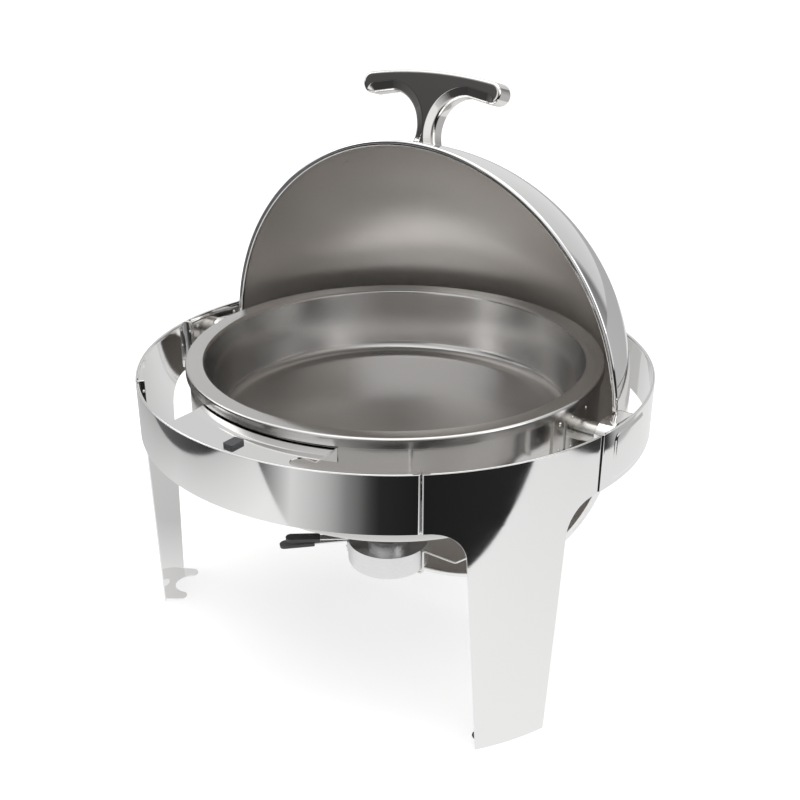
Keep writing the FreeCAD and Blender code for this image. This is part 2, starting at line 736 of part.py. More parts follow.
def at_cup(shape):
    shape.translate(Vector(0, CUP_Y, 0))
    return shape


def fuel_cup():
    path = [(CUP_R, CUP_Z[1], 0), (CUP_R, CUP_Z[0], CUP_FILLET), (0, CUP_Z[0], 0)]
    outline = sheet_outline([(r, z, a) for r, z, a in reversed(path)], CUP_T)
    return revolved(outline)


def cup_cover():
    mouth = 13.0
    skirt = CUP_R - CUP_T - TOUCH
    lid = revolved(rectangle(mouth, skirt, COVER_TOP - CUP_T, COVER_TOP))
    rim = revolved(rectangle(skirt - CUP_T, skirt, COVER_TOP - 4, COVER_TOP))
    neck = revolved(rectangle(NECK_R - CUP_T, NECK_R, COVER_TOP - CUP_T, NECK_TOP))
    return fused(lid, rim, neck)


def lever(r0, r1, z0, thickness, half_width):
    """A flat strip with a round end, drawn to the front."""
    strip = box(-half_width, half_width, -(r1 - half_width), -r0, z0, z0 + thickness)
    end = Part.makeCylinder(half_width, thickness, Vector(0, -(r1 - half_width), z0))
    return fused(strip, end)


def drooped(shape):
    """Tips the cup handle's outer end down about its root at the cup wall."""
    shape.rotate(Vector(0, -CUP_R, HANDLE_Z), Vector(1, 0, 0), HANDLE_DROOP)
    return turned(shape, HANDLE_AZIMUTH)


def damper_cap():
    skirt_in = NECK_R + 0.06
    skirt_out = skirt_in + CUP_T
    base = NECK_TOP - CAP_OVERLAP
    top = NECK_TOP + RUNNING_GAP
    wall = revolved(rectangle(skirt_in, skirt_out, base, top + CUP_T))
    plate = revolved(rectangle(0, skirt_out, top, top + CUP_T))
    vents = [Part.makeCylinder(3.0, 5, polar(12.0, 60 * i, top - 2)) for i in range(6)]
    arm = turned(lever(skirt_in + 0.4, 96.0, base, SHEET, LEVER_HALF_WIDTH), DAMPER_AZIMUTH)
    return fused(wall, plate.cut(vents), arm)


def grip(r0, r1, z_middle):
    """Heat-resistant sleeve round the end of a lever."""
    return lever(r0, r1, z_middle - GRIP_T / 2, GRIP_T, GRIP_HALF_WIDTH)


def make_fuel_holder():
    tab_z = (62.5, 72.5)
    strip = drooped(lever(CUP_R - 2, 104.0, HANDLE_Z, SHEET, LEVER_HALF_WIDTH))
    tab = arc_plate(CUP_R, CUP_R + SHEET, tab_z[0], tab_z[1], HANDLE_AZIMUTH - 14, HANDLE_AZIMUTH + 14)
    handle = fused(tab, strip.cut(Part.makeCylinder(CUP_R, 200)))
    rivet_points = [(HANDLE_AZIMUTH + side * 10.5, 67.0) for side in (-1, 1)]
    rivet_holes = [rod(polar(30, a, z), polar(50, a, z), 1.05) for a, z in rivet_points]
    export("fuel_cup", at_cup(fuel_cup().cut(rivet_holes)))
    export("cup_cover", at_cup(cup_cover()))
    export("cup_handle", at_cup(handle.cut(rivet_holes)))
    cup_rivets = [rivet(polar(CUP_R + SHEET, a, z), polar(-1, a), CUP_T + SHEET - TOUCH, 1.8, 0.8, 1.0)
                  for a, z in rivet_points]
    export("cup_handle_rivets", *[at_cup(r) for r in cup_rivets])
    export("cup_handle_grip", at_cup(drooped(grip(72.0, 107.0, HANDLE_Z + SHEET / 2)).cut(strip)))
    cap = damper_cap()
    damper_grip = turned(grip(66.0, 99.0, NECK_TOP - CAP_OVERLAP + SHEET / 2), DAMPER_AZIMUTH)
    export("damper_grip", at_cup(damper_grip.cut(cap)))
    export("damper_cap", at_cup(cap))


WIRE_WALL_X = 181.3
WIRE_KNEE_X = 77.0
WIRE_LEVEL = 73.3
WIRE_SIDE_X = CUP_R + WIRE_R + 0.35
WIRE_BOTTOM = CUP_Z[0] - WIRE_R - 0.35


def cradle_wire():
    half = [
        (WIRE_WALL_X, 224.0, 0), (WIRE_WALL_X, 157.0, 10.0), (WIRE_KNEE_X, WIRE_LEVEL, 8.0),
        (WIRE_SIDE_X, WIRE_LEVEL, 3.0), (WIRE_SIDE_X, WIRE_BOTTOM, CUP_FILLET),
    ]
    corners = half + [(-x, z, r) for x, z, r in reversed(half)]
    path = rounded_wire(corners, lambda p: Vector(p.x, CUP_Y, p.y), closed=False)
    section = Part.Wire(Part.makeCircle(WIRE_R, Vector(WIRE_WALL_X, CUP_Y, 224.0), Vector(0, 0, 1)))
    return path.makePipeShell([section], True, True)


def cradle_clip():
    clip = box(178.6, 185.0, CUP_Y - 8, CUP_Y + 8, 212.0, 221.0).common(Part.makeCylinder(RING_R - SHEET, 300))
    wire = rod(Vector(WIRE_WALL_X, CUP_Y, 200), Vector(WIRE_WALL_X, CUP_Y, 230), WIRE_R + TOUCH)
    return clip.cut(wire)


def make_cradle():
    export("cradle_wire", cradle_wire())
    export("cradle_clips", *[s for place in (lambda s: s, mirrored_x) for s in place(cradle_clip()).Solids])


make_outer_ring()
make_hinges()
make_inner_frame()
make_lid()
make_pans()
make_fuel_holder()
make_cradle()
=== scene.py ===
import math

import bmesh
import bpy
import mathutils.kdtree
from mathutils import Matrix, Vector


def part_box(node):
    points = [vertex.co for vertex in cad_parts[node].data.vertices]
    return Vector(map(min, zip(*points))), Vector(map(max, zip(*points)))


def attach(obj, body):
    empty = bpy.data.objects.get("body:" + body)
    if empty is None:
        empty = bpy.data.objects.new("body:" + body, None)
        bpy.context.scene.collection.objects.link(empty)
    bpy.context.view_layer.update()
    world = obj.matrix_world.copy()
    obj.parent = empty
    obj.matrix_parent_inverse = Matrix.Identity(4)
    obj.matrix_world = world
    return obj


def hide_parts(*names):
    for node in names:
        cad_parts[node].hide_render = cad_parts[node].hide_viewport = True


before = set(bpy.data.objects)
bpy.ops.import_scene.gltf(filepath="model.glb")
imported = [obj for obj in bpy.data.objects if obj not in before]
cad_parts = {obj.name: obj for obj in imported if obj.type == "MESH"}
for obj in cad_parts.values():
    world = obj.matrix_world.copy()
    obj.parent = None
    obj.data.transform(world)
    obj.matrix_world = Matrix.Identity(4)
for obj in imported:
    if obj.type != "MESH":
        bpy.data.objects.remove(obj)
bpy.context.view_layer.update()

# Lengths here are in millimetres, turned into metres where a mesh is made.
# Azimuths are in degrees from the front (-Y), growing towards +X.
MM = 0.001

BAND_R = 230.0
BAND_TOP = 257.5
BAND_BOTTOM = 208.0
SHEET = 1.2
LEG_HALF_ANGLE = 19.5
BAND_HALF_ANGLE = 60.0 - LEG_HALF_ANGLE
SEAM_GAP = 0.3
FLANGE_TIP_R = 222.4
AXIS_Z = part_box("hinge_pins")[0].z / MM / 2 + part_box("hinge_pins")[1].z / MM / 2
DOME_R = 210.0
DOME_T = 1.0
DOME_FOOT = 21.6


# ---- meshes ----

def polar(radius, azimuth, z=0.0):
    a = math.radians(azimuth)
    return Vector((radius * math.sin(a), -radius * math.cos(a), z))


def new_object(name, points, faces, sharp=35.0):
    """A smooth-shaded mesh object from points in millimetres; edges sharper than the angle stay crisp."""
    mesh = bpy.data.meshes.new(name)
    mesh.from_pydata([tuple(Vector(p) * MM) for p in points], [], faces)
    work = bmesh.new()
    work.from_mesh(mesh)
    bmesh.ops.remove_doubles(work, verts=work.verts, dist=0.000004)
    bmesh.ops.dissolve_degenerate(work, edges=work.edges, dist=0.000002)
    bmesh.ops.recalc_face_normals(work, faces=work.faces)
    work.to_mesh(mesh)
    work.free()
    mesh.shade_smooth()
    mesh.set_sharp_from_angle(angle=math.radians(sharp))
    thing = bpy.data.objects.new(name, mesh)
    bpy.context.scene.collection.objects.link(thing)
    return thing


def place_piece(thing, body, slot, *nodes):
    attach(thing, body)
    if nodes:
        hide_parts(*nodes)
    return thing


def arc(centre, radius, start, end, count):
    """Points on a plane arc, angles in degrees."""
    step = (end - start) / count
    return [(centre[0] + radius * math.cos(math.radians(start + step * i)),
             centre[1] + radius * math.sin(math.radians(start + step * i))) for i in range(count + 1)]


def rounded(corners, parts=6, closed=True):
    """Outline points through (u, v, radius) corners, each rounded by its radius."""
    out = []
    count = len(corners)
    for i, (u, v, radius) in enumerate(corners):
        here = Vector((u, v))
        if radius <= 0 or (not closed and i in (0, count - 1)):
            out.append((u, v))
            continue
        before = (Vector(corners[i - 1][:2]) - here).normalized()
        after = (Vector(corners[(i + 1) % count][:2]) - here).normalized()
        half = before.angle(after) / 2
        way = (before + after).normalized()
        centre = here + way * (radius / math.sin(half))
        first = here + before * (radius / math.tan(half)) - centre
        last = here + after * (radius / math.tan(half)) - centre
        turn = first.angle_signed(last)
        pieces = max(2, int(parts * abs(turn) / 1.5) + 1)
        for k in range(pieces + 1):
            a = -turn * k / pieces
            out.append((centre.x + first.x * math.cos(a) - first.y * math.sin(a),
                        centre.y + first.x * math.sin(a) + first.y * math.cos(a)))
    return out


def sheet_outline(path, thickness, parts=6):
    """Closed outline of a bent sheet: the rounded path, and its offset to the left by the thickness."""
    points = [Vector(p) for p in rounded(path, parts, closed=False)]
    offset = []
    for i, point in enumerate(points):
        ways = []
        if i > 0:
            ways.append((point - points[i - 1]).normalized())
        if i < len(points) - 1:
            ways.append((points[i + 1] - point).normalized())
        lefts = [Vector((-w.y, w.x)) for w in ways]
        mean = sum(lefts, Vector((0, 0))).normalized()
        offset.append(point + mean * (thickness / mean.dot(lefts[0])))
    return [tuple(p) for p in points] + [tuple(p) for p in reversed(offset)]


def lathe(name, outline, steps=192, stand=lambda r, h, a: polar(r, a, h), sharp=35.0):
    """Closed (r, h) outline turned a full turn; stand puts a point in space from r, h and the angle."""
    points = []
    rings = []
    for r, h in outline:
        if abs(r) < 1e-6:
            rings.append([len(points)] * steps)
            points.append(stand(0.0, h, 0.0))
        else:
            rings.append(list(range(len(points), len(points) + steps)))
            points += [stand(r, h, 360.0 * k / steps) for k in range(steps)]
    faces = []
    for ring, following in zip(rings, rings[1:] + rings[:1]):
        for k in range(steps):
            quad = [ring[k], ring[(k + 1) % steps], following[(k + 1) % steps], following[k]]
            face = list(dict.fromkeys(quad))
            if len(face) > 2:
                faces.append(face)
    return new_object(name, points, faces, sharp)


def about_lid_axis(r, h, a):
    """Stands a lathe outline about the open lid's own axis: h runs along Y."""
    return Vector((r * math.sin(math.radians(a)), h, AXIS_Z + r * math.cos(math.radians(a))))


def soften_edges(thing, width=0.3, segments=2):
    bevel = thing.modifiers.new("edge_rounding", "BEVEL")
    bevel.width = width * MM
    bevel.segments = segments
    bevel.limit_method = "ANGLE"
    bevel.angle_limit = math.radians(40)
    bevel.harden_normals = True
    return thing


def thicken(thing, thickness=SHEET):
    solid = thing.modifiers.new("sheet_thickness", "SOLIDIFY")
    solid.thickness = thickness * MM
    solid.offset = -1.0
    solid.use_even_offset = True
    return soften_edges(thing)


# ---- materials ----

def principled(name, colour, metallic, roughness, **sockets):
    material = bpy.data.materials.new(name)
    material.use_nodes = True
    shader = material.node_tree.nodes["Principled BSDF"]
    shader.inputs["Base Color"].default_value = (*colour, 1.0)
    shader.inputs["Metallic"].default_value = metallic
    shader.inputs["Roughness"].default_value = roughness
    for key, value in sockets.items():
        shader.inputs[key.replace("_", " ")].default_value = value
    return material, shader


def add_node(material, kind, **values):
    node = material.node_tree.nodes.new(kind)
    for key, value in values.items():
        if hasattr(node, key):
            setattr(node, key, value)
        else:
            node.inputs[key.replace("_", " ")].default_value = value
    return node


def link(material, source, target):
    material.node_tree.links.new(source, target)


def object_space(material, stretch):
    """Object coordinates, stretched per axis."""
    coords = add_node(material, "ShaderNodeTexCoord")
    mapping = add_node(material, "ShaderNodeMapping")
    mapping.inputs["Scale"].default_value = stretch
    link(material, coords.outputs["Object"], mapping.inputs["Vector"])
    return mapping.outputs["Vector"]


def ring_space(material, stretch):
    """(radius, height, angle) coordinates about Z, each times its stretch, for spun and rolled sheet."""
    coords = add_node(material, "ShaderNodeTexCoord")
    split = add_node(material, "ShaderNodeSeparateXYZ")
    link(material, coords.outputs["Object"], split.inputs["Vector"])
    flat = add_node(material, "ShaderNodeCombineXYZ")
    link(material, split.outputs["X"], flat.inputs["X"])
    link(material, split.outputs["Y"], flat.inputs["Y"])
    radius = add_node(material, "ShaderNodeVectorMath", operation="LENGTH")
    link(material, flat.outputs["Vector"], radius.inputs[0])
    angle = add_node(material, "ShaderNodeMath", operation="ARCTAN2")
    link(material, split.outputs["Y"], angle.inputs[0])
    link(material, split.outputs["X"], angle.inputs[1])
    joined = add_node(material, "ShaderNodeCombineXYZ")
    link(material, radius.outputs["Value"], joined.inputs["X"])
    link(material, split.outputs["Z"], joined.inputs["Y"])
    link(material, angle.outputs["Value"], joined.inputs["Z"])
    mapping = add_node(material, "ShaderNodeMapping")
    mapping.inputs["Scale"].default_value = stretch
    link(material, joined.outputs["Vector"], mapping.inputs["Vector"])
    return mapping.outputs["Vector"]


def noise(material, vector, scale, detail=3.0):
    node = add_node(material, "ShaderNodeTexNoise")
    node.inputs["Scale"].default_value = scale
    node.inputs["Detail"].default_value = detail
    link(material, vector, node.inputs["Vector"])
    return node.outputs["Fac"]


def spread(material, value, low, high):
    """Maps a 0 to 1 value onto low to high."""
    node = add_node(material, "ShaderNodeMapRange")
    node.interpolation_type = "SMOOTHSTEP"
    node.inputs["From Min"].default_value = 0.2
    node.inputs["From Max"].default_value = 0.8
    node.inputs["To Min"].default_value = low
    node.inputs["To Max"].default_value = high
    link(material, value, node.inputs["Value"])
    return node.outputs["Result"]


def add_bump(material, shader, height, strength, distance, below=None):
    bump = add_node(material, "ShaderNodeBump")
    bump.inputs["Strength"].default_value = strength
    bump.inputs["Distance"].default_value = distance
    link(material, height, bump.inputs["Height"])
    if below is not None:
        link(material, below, bump.inputs["Normal"])
    link(material, bump.outputs["Normal"], shader.inputs["Normal"])
    return bump.outputs["Normal"]


def round_edges(material, shader, radius=0.35):
    """Shades the sharp edges of a carried-over part as if broken by a small radius."""
    bevel = add_node(material, "ShaderNodeBevel", samples=4)
    bevel.inputs["Radius"].default_value = radius * MM
    for join in list(shader.inputs["Normal"].links):
        bump = join.from_node
        while bump.inputs["Normal"].links:
            bump = bump.inputs["Normal"].links[0].from_node
        link(material, bevel.outputs["Normal"], bump.inputs["Normal"])
    return material


def tint(material, shader, value, dark, light):
    mix = add_node(material, "ShaderNodeMix", data_type="RGBA")
    mix.inputs[6].default_value = (*dark, 1.0)
    mix.inputs[7].default_value = (*light, 1.0)
    link(material, value, mix.inputs[0])
    link(material, mix.outputs[2], shader.inputs["Base Color"])


def polished_steel(name="polished_steel", colour=(0.90, 0.895, 0.89)):
    """Mirror sheet: slow waviness of rolled sheet, faint polishing haze."""
    material, shader = principled(name, colour, 1.0, 0.05)
    wide = noise(material, object_space(material, (1, 1, 0.6)), 9.0, 1.0)
    fine = noise(material, ring_space(material, (40, 1200, 6)), 1.0, 2.0)
    haze = noise(material, object_space(material, (1, 1, 1)), 30.0, 4.0)
    link(material, spread(material, haze, 0.035, 0.075), shader.inputs["Roughness"])
    slow = add_bump(material, shader, wide, 0.12, 0.0012)
    add_bump(material, shader, fine, 0.010, 0.0002, slow)
    return material


def cast_chrome():
    material, shader = principled("cast_chrome", (0.90, 0.885, 0.87), 1.0, 0.05)
    haze = noise(material, object_space(material, (1, 1, 1)), 60.0, 4.0)
    link(material, spread(material, haze, 0.03, 0.075), shader.inputs["Roughness"])
    add_bump(material, shader, noise(material, object_space(material, (1, 1, 1)), 45.0, 1.0), 0.06, 0.0008)
    return round_edges(material, shader)


def brushed_steel(name, colour, roughness, lines=(900, 900, 3), depth=0.10, contrast=0.08, broken_edges=True):
    """Sheet brushed round the object: fine lines run along the angle."""
    material, shader = principled(name, colour, 1.0, roughness, Anisotropic=0.45)
    grain = noise(material, ring_space(material, lines), 1.0, 3.0)
    cloud = noise(material, object_space(material, (1, 1, 1)), 14.0, 3.0)
    link(material, spread(material, cloud, roughness * 0.85, roughness * 1.2), shader.inputs["Roughness"])
    dark = tuple(c * (1 - contrast) for c in colour)
    light = tuple(min(1, c * (1 + contrast)) for c in colour)
    tint(material, shader, grain, dark, light)
    add_bump(material, shader, grain, depth, 0.0002)
    return round_edges(material, shader) if broken_edges else material


def lid_inner_steel():
    """Inside of the spun lid: satin, faint rings about the lid's own axis, soft blotches."""
    colour = (0.80, 0.765, 0.73)
    material, shader = principled("lid_inner_satin", colour, 0.85, 0.30)
    coords = add_node(material, "ShaderNodeTexCoord")
    shift = add_node(material, "ShaderNodeMapping")
    shift.inputs["Location"].default_value = (0, 0, -AXIS_Z * MM)
    link(material, coords.outputs["Object"], shift.inputs["Vector"])
    split = add_node(material, "ShaderNodeSeparateXYZ")
    link(material, shift.outputs["Vector"], split.inputs["Vector"])
    flat = add_node(material, "ShaderNodeCombineXYZ")
    link(material, split.outputs["X"], flat.inputs["X"])
    link(material, split.outputs["Z"], flat.inputs["Y"])
    radius = add_node(material, "ShaderNodeVectorMath", operation="LENGTH")
    link(material, flat.outputs["Vector"], radius.inputs[0])
    rings = add_node(material, "ShaderNodeTexNoise", noise_dimensions="1D")
    rings.inputs["Scale"].default_value = 1400.0
    link(material, radius.outputs["Value"], rings.inputs["W"])
    blotch = noise(material, object_space(material, (1, 1, 1)), 9.0, 3.0)
    link(material, spread(material, blotch, 0.26, 0.36), shader.inputs["Roughness"])
    tint(material, shader, blotch, (0.84, 0.80, 0.76), (0.93, 0.905, 0.88))
    add_bump(material, shader, rings.outputs["Fac"], 0.06, 0.0002)
    return material


def matte_black(name, colour, roughness, grain):
    material, shader = principled(name, colour, 0.0, roughness)
    speckle = noise(material, object_space(material, (1, 1, 1)), grain, 4.0)
    tint(material, shader, speckle, tuple(c * 0.7 for c in colour), tuple(c * 1.6 for c in colour))
    link(material, spread(material, speckle, roughness - 0.1, roughness + 0.1), shader.inputs["Roughness"])
    add_bump(material, shader, speckle, 0.25, 0.0003)
    return round_edges(material, shader, 0.8)


MIRROR = polished_steel()
CHROME = cast_chrome()
CAST = polished_steel("handle_polish", (0.86, 0.84, 0.82))
RING_STEEL = brushed_steel("ring_brushed_steel", (0.64, 0.63, 0.615), 0.12)
PAN_STEEL = brushed_steel("pan_satin_steel", (0.62, 0.61, 0.60), 0.19, lines=(600, 600, 2), depth=0.02,
                          contrast=0.02, broken_edges=False)
CUP_STEEL = brushed_steel("cup_matte_steel", (0.82, 0.82, 0.82), 0.34, lines=(1200, 1200, 4), depth=0.08)
HINGE_STEEL = brushed_steel("hinge_brushed_steel", (0.58, 0.565, 0.54), 0.22, lines=(700, 700, 20))
FIXING_STEEL = brushed_steel("fixing_steel", (0.82, 0.81, 0.79), 0.18, lines=(500, 500, 40), depth=0.05)
LID_INNER = lid_inner_steel()
RUBBER = matte_black("bumper_rubber", (0.035, 0.035, 0.038), 0.55, 900.0)
GRIP = matte_black("grip_plastic", (0.045, 0.045, 0.048), 0.42, 500.0)


def dress(thing, *materials):
    thing.data.materials.clear()
    for material in materials:
        thing.data.materials.append(material)
    return thing


# ---- ring panels and legs ----

def panel_columns(half_angle, bend, angle_step):
    """Plan path of a panel's outer face about the front: (x, y) points from one flange tip to the other."""
    seam = SEAM_GAP / 2
    middle_r = BAND_R - bend
    lean = math.degrees(math.asin((bend + seam) / middle_r))
    reach = half_angle - lean
    side = []
    centre = polar(middle_r, reach)
    for k in range(9):
        a = math.radians(reach + (half_angle + 90 - reach) * k / 8)
        side.append(centre + Vector((math.sin(a), -math.cos(a), 0)) * bend)
    tip = polar(FLANGE_TIP_R, half_angle)
    across = Vector((math.cos(math.radians(half_angle)), math.sin(math.radians(half_angle)), 0))
    side.append(tip - across * seam)
    count = int(2 * reach / angle_step)
    middle = [polar(BAND_R, -reach + 2 * reach * k / count) for k in range(1, count)]
    left = [Vector((-p.x, p.y, 0)) for p in reversed(side)]
    return left + middle + side


def smooth_step(value):
    t = min(max(value, 0.0), 1.0)
    return t * t * (3 - 2 * t)


def emboss_rise(y, z):
    """Height of the raised field with round corners beside each hinge."""
    low_y, high_y, low_z, high_z, corner, wall, proud = -24.0, 30.0, 212.0, 253.0, 6.0, 2.2, 0.88
    inner_y = abs(y - (low_y + high_y) / 2) - ((high_y - low_y) / 2 - corner)
    inner_z = abs(z - (low_z + high_z) / 2) - ((high_z - low_z) / 2 - corner)
    outside = math.hypot(max(inner_y, 0), max(inner_z, 0)) + min(max(inner_y, inner_z), 0) - corner
    return proud * smooth_step(-outside / wall)


def grid_faces(rows, columns, first=0):
    return [(first + r * columns + c, first + r * columns + c + 1,
             first + (r + 1) * columns + c + 1, first + (r + 1) * columns + c)
            for r in range(rows - 1) for c in range(columns - 1)]


def hem_strip(name, half_angle, azimuth):
    """The rolled lip inside the top edge of a panel."""
    outline = rounded([(BAND_R - SHEET - 0.05, BAND_TOP - 3.0, 0.5), (BAND_R - SHEET - 0.05, BAND_TOP, 0.5),
                       (BAND_R - 2.6, BAND_TOP, 0.6), (BAND_R - 2.6, BAND_TOP - 3.0, 0.5)], 4)
    span = half_angle - 1.6
    count = int(span * 2)
    points = []
    for k in range(count + 1):
        points += [polar(r, azimuth - span + 2 * span * k / count, z) for r, z in outline]
    width = len(outline)
    faces = [(k * width + i, k * width + (i + 1) % width, (k + 1) * width + (i + 1) % width, (k + 1) * width + i)
             for k in range(count) for i in range(width)]
    faces += [list(range(width)), list(range(count * width, (count + 1) * width))]
    return new_object(name, points, faces)


def turn_to(points, azimuth):
    turn = Matrix.Rotation(math.radians(azimuth), 3, "Z")
    return [turn @ p for p in points]


def band_panel(name, azimuth):
    embossed = azimuth != 0
    columns = panel_columns(BAND_HALF_ANGLE, 3.5, 0.18 if embossed else 0.6)
    rows = 80 if embossed else 12
    heights = [BAND_BOTTOM + (BAND_TOP - BAND_BOTTOM) * k / (rows - 1) for k in range(rows)]
    points = []
    for z in heights:
        for p in turn_to(columns, azimuth):
            rise = emboss_rise(p.y, z) if embossed and abs(p.x) > 150 else 0.0
            out = Vector((p.x, p.y, 0)).normalized()
            points.append(Vector((p.x, p.y, z)) + out * rise)
    return thicken(new_object(name, points, grid_faces(rows, len(columns))))


LEG_HALF_FOOT = 32.0
LEG_HALF_TOP = 45.0
LEG_FILLET = 28.0


def leg_half_width(z):
    """Half width of a leg at a height: a taper, then the fillet that opens into the band."""
    taper = (LEG_HALF_TOP - LEG_HALF_FOOT) / BAND_BOTTOM
    slope = math.atan(taper)
    half = (math.pi / 2 + slope) / 2
    reach = LEG_FILLET / math.tan(half)
    centre_x = LEG_HALF_TOP + reach
    centre_z = BAND_BOTTOM - LEG_FILLET
    if z <= BAND_BOTTOM - reach * math.cos(slope):
        return LEG_HALF_FOOT + taper * z
    return centre_x - math.sqrt(max(LEG_FILLET ** 2 - (z - centre_z) ** 2, 0.0))


def leg_panel(name, azimuth):
    across = 40
    top_half = leg_half_width(BAND_BOTTOM)
    share = [-1 + 2 * k / across for k in range(across + 1)]

    def on_ring(x, z):
        return Vector((x, -math.sqrt(BAND_R ** 2 - x ** 2), z))

    low_rows = [BAND_BOTTOM * (1 - (1 - k / 60) ** 1.6) for k in range(61)]
    points = [on_ring(leg_half_width(z) * s, z) for z in low_rows for s in share]
    faces = grid_faces(len(low_rows), across + 1)
    ends = [p for p in panel_columns(LEG_HALF_ANGLE, 1.8, 0.6) if abs(p.x) > top_half + 0.05 or p.y > -200]
    left = [p for p in ends if p.x < 0]
    right = [p for p in ends if p.x > 0]
    columns = left + [on_ring(top_half * s, 0) for s in share] + right
    heights = [BAND_BOTTOM + (BAND_TOP - BAND_BOTTOM) * k / 12 for k in range(13)]
    first = len(points)
    points += [Vector((p.x, p.y, z)) for z in heights for p in columns]
    faces += grid_faces(len(heights), len(columns), first)
    return thicken(new_object(name, turn_to(points, azimuth), faces))


def foot_plate(name, azimuth):
    """The leg's turned-in foot: two rounded tongues with a round notch between them."""
    offset, half, tip_r, notch_r = 21.0, 6.5, 208.5, 225.5
    straight = tip_r + half
    outer_x = offset + half
    across = [outer_x * (k / 6 - 1) for k in range(13)]
    edge = [(x, math.sqrt((BAND_R - 0.7) ** 2 - x * x)) for x in across]
    left = [(-offset + half * math.cos(a), straight - half * math.sin(a))
            for a in (math.pi * k / 14 for k in range(15))]
    right = [(-x, r) for x, r in reversed(left)]
    sweep = (offset - half)
    notch_depth = notch_r - straight
    radius = (sweep ** 2 + notch_depth ** 2) / (2 * notch_depth)
    centre = notch_r - radius
    span = math.asin(min(1.0, sweep / radius))
    if notch_depth > radius:
        span = math.pi - span
    notch = [(radius * math.sin(-span + 2 * span * k / 20), centre + radius * math.cos(-span + 2 * span * k / 20))
             for k in range(1, 20)]
    outline = edge + right + list(reversed(notch)) + left
    flat = [Vector((x, -r, 0)) for x, r in outline]
    count = len(flat)
    points = turn_to(flat + [p + Vector((0, 0, SHEET)) for p in flat], azimuth)
    faces = [list(range(count)), list(range(count, 2 * count))]
    faces += [(i, (i + 1) % count, count + (i + 1) % count, count + i) for i in range(count)]
    return soften_edges(new_object(name, points, faces))


def make_ring_panels():
    for node, azimuth in (("front_band_panel", 0.0), ("right_rear_band_panel", 120.0),
                          ("left_rear_band_panel", -120.0)):
        panel = dress(band_panel(node + "_sheet", azimuth), MIRROR)
        place_piece(panel, "frame", "mirror_steel", node)
        hem = dress(hem_strip(node + "_hem", BAND_HALF_ANGLE, azimuth), MIRROR)
        place_piece(hem, "frame", "mirror_steel")
    for node, azimuth in (("right_leg_panel", 60.0), ("left_leg_panel", -60.0), ("rear_leg_panel", 180.0)):
        panel = dress(leg_panel(node + "_sheet", azimuth), MIRROR)
        place_piece(panel, "frame", "mirror_steel", node)
        hem = dress(hem_strip(node + "_hem", LEG_HALF_ANGLE, azimuth), MIRROR)
        place_piece(hem, "frame", "mirror_steel")
        foot = dress(foot_plate(node + "_foot", azimuth), MIRROR)
        place_piece(foot, "frame", "mirror_steel")


# ---- lid ----

def make_dome():
    rim_angle = math.degrees(math.asin(DOME_FOOT / DOME_R))
    inner_rim = math.degrees(math.asin(DOME_FOOT / (DOME_R - DOME_T)))
    outside = arc((0, 0), DOME_R, rim_angle, 90, 96)
    inside = arc((0, 0), DOME_R - DOME_T, 90, inner_rim, 96)
    outline = outside[:-1] + [(0.0, DOME_R)] + [(0.0, DOME_R - DOME_T)] + inside[1:]
    dome = lathe("lid_dome_shell", outline, 320, about_lid_axis)
    dress(dome, MIRROR, LID_INNER)
    for face in dome.data.polygons:
        middle = face.center / MM - Vector((0, 0, AXIS_Z))
        if middle.length < DOME_R - DOME_T / 2:
            face.material_index = 1
    place_piece(dome, "lid", "mirror_steel", "lid_dome")


def make_rim_bead():
    """Rolled rim: a round outer roll and a small flat step inside it."""
    corners = [(-4.2, -3.9, 1.2), (-2.0, -3.9, 0.5), (-1.7, -4.0, 0.4), (0.7, -4.0, 1.9), (0.7, 0.0, 1.9),
               (-4.2, 0.0, 0.8)]
    outline = rounded([(DOME_R + out, DOME_FOOT + up, corner) for out, up, corner in corners], 6)
    bead = dress(lathe("lid_rim_roll", outline, 320, about_lid_axis), MIRROR)
    place_piece(bead, "lid", "mirror_steel", "lid_rim_bead")


HANDLE_TILT = 13.6
HANDLE_HALF_T = 10.0
HANDLE_FOOT = DOME_R - 0.6
HANDLE_UNDER = (38.0, 251.0)
HANDLE_DROOP = (58.0, 247.5)
HANDLE_SHOULDER = (62.5, 265.5)


def three_point_arc(a, b, c, count):
    """Points on the circle arc from a through b to c."""
    a, b, c = Vector(a), Vector(b), Vector(c)
    d = 2 * (a.x * (b.y - c.y) + b.x * (c.y - a.y) + c.x * (a.y - b.y))
    x = (a.length_squared * (b.y - c.y) + b.length_squared * (c.y - a.y) + c.length_squared * (a.y - b.y)) / d
    y = (a.length_squared * (c.x - b.x) + b.length_squared * (a.x - c.x) + c.length_squared * (b.x - a.x)) / d
    centre = Vector((x, y))
    first, middle, last = a - centre, b - centre, c - centre
    turn = first.angle_signed(middle) + middle.angle_signed(last)
    out = []
    for k in range(count + 1):
        t = -turn * k / count
        out.append((x + first.x * math.cos(t) - first.y * math.sin(t),
                    y + first.x * math.sin(t) + first.y * math.cos(t)))
    return out


def handle_underside():
    """Right side of the handle, up the stem and out under the bar: (x, height above the axis) points."""
    stem = three_point_arc((11.8, HANDLE_FOOT), (9.6, 219.0), (11.0, 230.0), 10)
    bend = three_point_arc((11.0, 230.0), (17.8, 242.0), HANDLE_UNDER, 20)
    return stem + bend[1:] + [HANDLE_DROOP]


